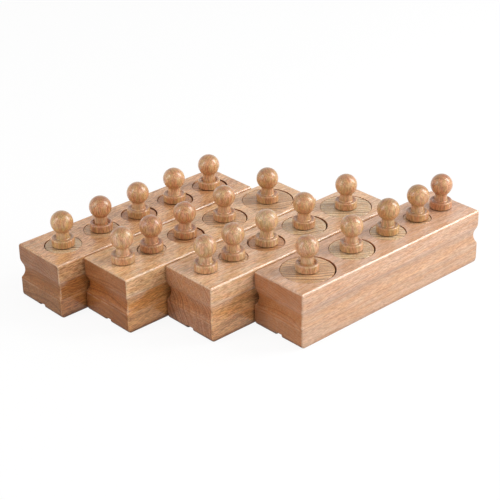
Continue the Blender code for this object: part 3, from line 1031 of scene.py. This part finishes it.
def add_boards(block, beech):
    """A block's two boards, glued one on the other."""
    for piece, (level, keep_above) in enumerate((("upper", True), ("lower", False))):
        shape = block_blank(block["width"], block["length"], block["height"])
        half_line = GLUE_LINE_WIDTH / 2 if keep_above else -GLUE_LINE_WIDTH / 2
        cut_level(shape, block["glue_line"] + half_line, keep_above)
        name = f"{block['name']}_{level}"
        board = new_object(name + "_beech", shape)
        cutters = [hole_plugs(block)]
        if not keep_above:
            cutters.append(foot_groove(block))
        cut_away(board, cutters)
        board.location = block["origin"]
        own = own_number(block["index"], piece)
        facts = BOARDS[name]
        turn = (90.0, MOST_BOARD_TILT - 2 * MOST_BOARD_TILT * own, facts["turn"])
        material = lacquered_beech(
            name + "_lacquer",
            beech,
            facts["wood"],
            facts["end"],
            (turn, (BOARD_HEART, 0.0, TREE_LENGTH * own), (0.0, 1.0, 0.0)),
            {**facts["figure"], **BOARD_LOOK},
            UPPER_BOARD_PAINTED_LIGHT if keep_above else LOWER_BOARD_PAINTED_LIGHT,
            BOARD_LACQUER,
        )
        finish_piece(board, name + "_board", block["name"], material)


def cylinder_profile(radius, height):
    """A cylinder with its socket, from the socket's floor over the rim to the middle of its foot."""
    socket_floor = height - TENON_LENGTH - GLUE_GAP
    profile = [(0.0, socket_floor), (SOCKET_RADIUS, socket_floor), (SOCKET_RADIUS, height)]
    top, foot = CYLINDER_TOP_ROUND, CYLINDER_FOOT_ROUND
    profile += arc(radius - top, height - top, top, 90, 0, RIM_STEPS)
    profile += arc(radius - foot, foot, foot, 0, -90, CYLINDER_FOOT_STEPS)
    profile.append((0.0, 0.0))
    return profile


def knob_profile(dish_floor):
    """A knob from the top of its ball to the foot of its tenon, with its flange's underside at 0."""
    under_ball = math.acos(NECK_RADIUS / BALL_RADIUS)
    ball_centre = NECK_TOP + BALL_RADIUS * math.sin(under_ball)
    crease = math.degrees(under_ball) - CREASE_DEGREES
    dish_top = dish_floor + DISH_FILLET
    bead_centre = (FLANGE_RADIUS - FLANGE_ROUND, FLANGE_HEIGHT - FLANGE_ROUND)
    foot_centre = (FLANGE_RADIUS - FLANGE_FOOT_ROUND, FLANGE_FOOT_ROUND)
    profile = arc(0.0, ball_centre, BALL_RADIUS, 90, -crease, BALL_STEPS)
    profile[0] = (0.0, ball_centre + BALL_RADIUS)
    profile.append((NECK_RADIUS, NECK_TOP - CREASE_HEIGHT))
    profile.append((NECK_RADIUS - NECK_WAIST_DEPTH, NECK_TOP - NECK_WAIST))
    profile.append((NECK_RADIUS - NECK_FOOT_DEPTH, dish_top + NECK_WAIST))
    profile += arc(NECK_RADIUS + DISH_FILLET, dish_top, DISH_FILLET, 180, DISH_END_DEGREES, DISH_STEPS)
    profile += arc(*bead_centre, FLANGE_ROUND, BEAD_START_DEGREES, 0, BEAD_STEPS)
    profile += arc(*foot_centre, FLANGE_FOOT_ROUND, 0, -90, FLANGE_FOOT_STEPS)
    profile += [(TENON_RADIUS, 0.0), (TENON_RADIUS, -TENON_LENGTH), (0.0, -TENON_LENGTH)]
    return profile


def add_cylinder(block, number, beech):
    """One cylinder, turned with the grain along its length. Gives back the height of its top."""
    node = f"{block['name']}_cylinder_{number}"
    low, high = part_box(node)
    shape = bmesh.new()
    turn_profile(shape, cylinder_profile((high.x - low.x) / 2, high.z - low.z), HOLE_SIDES)
    bmesh.ops.recalc_face_normals(shape, faces=shape.faces)
    cylinder = new_object(node + "_beech", shape)
    cylinder.location = ((low.x + high.x) / 2, (low.y + high.y) / 2, low.z)
    own = own_number(block["index"], number + 1)
    turn = (0.0, 0.0, CYLINDER_TURN[0] + CYLINDER_TURN[1] * own)
    material = lacquered_beech(
        node + "_lacquer",
        beech,
        CYLINDER_WOODS[CYLINDERS[block["index"]][number - 1]],
        CYLINDER_END,
        (turn, (CYLINDER_HEART, 0.0, TREE_LENGTH * own), (0.0, 0.0, 1.0)),
        {**CYLINDER_LOOK, "Ring Width": CYLINDER_RING_WIDTH[0] + CYLINDER_RING_WIDTH[1] * own},
        {},
        CYLINDER_LACQUER,
    )
    finish_piece(cylinder, node, f"{block['name']}_insert_{number}", material)
    return high.z


def add_knob(block, number, cylinder_top, beech):
    """One knob, turned in one piece from its ball to its tenon, standing on its cylinder."""
    node = f"{block['name']}_knob_{number}"
    low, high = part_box(node)
    shape = bmesh.new()
    dish_floor = DEEP_DISH_FLOOR if node in DEEP_DISH_KNOBS else DISH_FLOOR
    turn_profile(shape, knob_profile(dish_floor), KNOB_SIDES)
    for vertex in shape.verts:
        if vertex.co.z == 0.0:
            vertex.co.z = SEAT_GAP - GLUE_GAP
    bmesh.ops.recalc_face_normals(shape, faces=shape.faces)
    knob = new_object(node + "_beech", shape)
    knob.location = ((low.x + high.x) / 2, (low.y + high.y) / 2, cylinder_top + GLUE_GAP)
    own = own_number(block["index"], number + 1 + CYLINDERS_PER_BLOCK)
    turn = (0.0, MOST_KNOB_TILT * own, 360.0 * own)
    heart = (KNOB_HEART[0] + KNOB_HEART[1] * own, 0.0, TREE_LENGTH * own)
    material = lacquered_beech(
        node + "_lacquer",
        beech,
        KNOB_WOODS[KNOBS[block["index"]][number - 1]],
        KNOB_END,
        (turn, heart, (0.0, 0.0, 1.0)),
        {**KNOB_LOOK, "Ring Width": KNOB_RING_WIDTH[0] + KNOB_RING_WIDTH[1] * own},
        KNOB_PAINTED_LIGHT,
        KNOB_LACQUER,
    )
    finish_piece(knob, node, f"{block['name']}_insert_{number}", material)


def add_set():
    """All four blocks with their cylinders and knobs."""
    beech = beech_group()
    for number in range(1, BLOCKS + 1):
        block = measure_block(number)
        add_boards(block, beech)
        for cylinder in range(1, CYLINDERS_PER_BLOCK + 1):
            cylinder_top = add_cylinder(block, cylinder, beech)
            add_knob(block, cylinder, cylinder_top, beech)


def seen_directly(tree):
    """1 where a ray comes from the camera, a mirror or glass, and 0 for light that falls on the set."""
    ray = add_node(tree, "ShaderNodeLightPath", "kind of ray").outputs
    seen = calculate(tree, "camera or mirror", "MAXIMUM", ray["Is Camera Ray"], ray["Is Glossy Ray"])
    return calculate(tree, "camera, mirror or glass", "MAXIMUM", seen, ray["Is Transmission Ray"])


def add_room():
    """Even light from all round, with plain white behind everything that is seen."""
    world = bpy.data.worlds.new("room")
    world.use_nodes = True
    bpy.context.scene.world = world
    tree = world.node_tree
    tree.nodes.clear()
    light = add_node(tree, "ShaderNodeBackground", "even light")
    light.inputs["Color"].default_value = WHITE
    light.inputs["Strength"].default_value = ROOM_LIGHT
    paper = add_node(tree, "ShaderNodeBackground", "white paper")
    paper.inputs["Color"].default_value = WHITE
    paper.inputs["Strength"].default_value = 1.0
    mix = add_node(tree, "ShaderNodeMixShader", "light or paper")
    output = add_node(tree, "ShaderNodeOutputWorld", "room")
    share, first, second = mix.inputs
    feed(tree, share, seen_directly(tree))
    feed(tree, first, light.outputs["Background"])
    feed(tree, second, paper.outputs["Background"])
    feed(tree, output.inputs["Surface"], mix.outputs["Shader"])


def add_floor():
    """A plain pale floor that keeps a faint shadow of the set and looks like white paper."""
    mesh = bpy.data.meshes.new("floor")
    reach = FLOOR_REACH / 2
    corners = [(-reach, -reach, 0.0), (reach, -reach, 0.0), (reach, reach, 0.0), (-reach, reach, 0.0)]
    mesh.from_pydata(corners, [], [(0, 1, 2, 3)])
    floor = bpy.data.objects.new("floor", mesh)
    floor.location.z = -FLOOR_DROP
    bpy.context.scene.collection.objects.link(floor)
    material = bpy.data.materials.new("pale_floor")
    material.use_nodes = True
    tree = material.node_tree
    tree.nodes.clear()
    lit = add_node(tree, "ShaderNodeBsdfDiffuse", "lit floor")
    seen = seen_directly(tree)
    feed(tree, lit.inputs["Color"], blend_colours(tree, "paper colour", seen, FLOOR_COLOUR, WHITE))
    paper = add_node(tree, "ShaderNodeEmission", "white paper")
    paper.inputs["Color"].default_value = WHITE
    paper.inputs["Strength"].default_value = 1.0
    paper_share = calculate(tree, "paper share", "MULTIPLY", seen, 1.0 - FLOOR_LIT_SHARE)
    mix = add_node(tree, "ShaderNodeMixShader", "floor or paper")
    output = add_node(tree, "ShaderNodeOutputMaterial", "floor")
    share, first, second = mix.inputs
    feed(tree, share, paper_share)
    feed(tree, first, lit.outputs["BSDF"])
    feed(tree, second, paper.outputs["Emission"])
    feed(tree, output.inputs["Surface"], mix.outputs["Shader"])
    mesh.materials.append(material)


bpy.context.scene.view_settings.view_transform = "Standard"
add_camera()
for lamp in LAMPS:
    add_lamp(lamp)
add_room()
add_floor()
add_set()
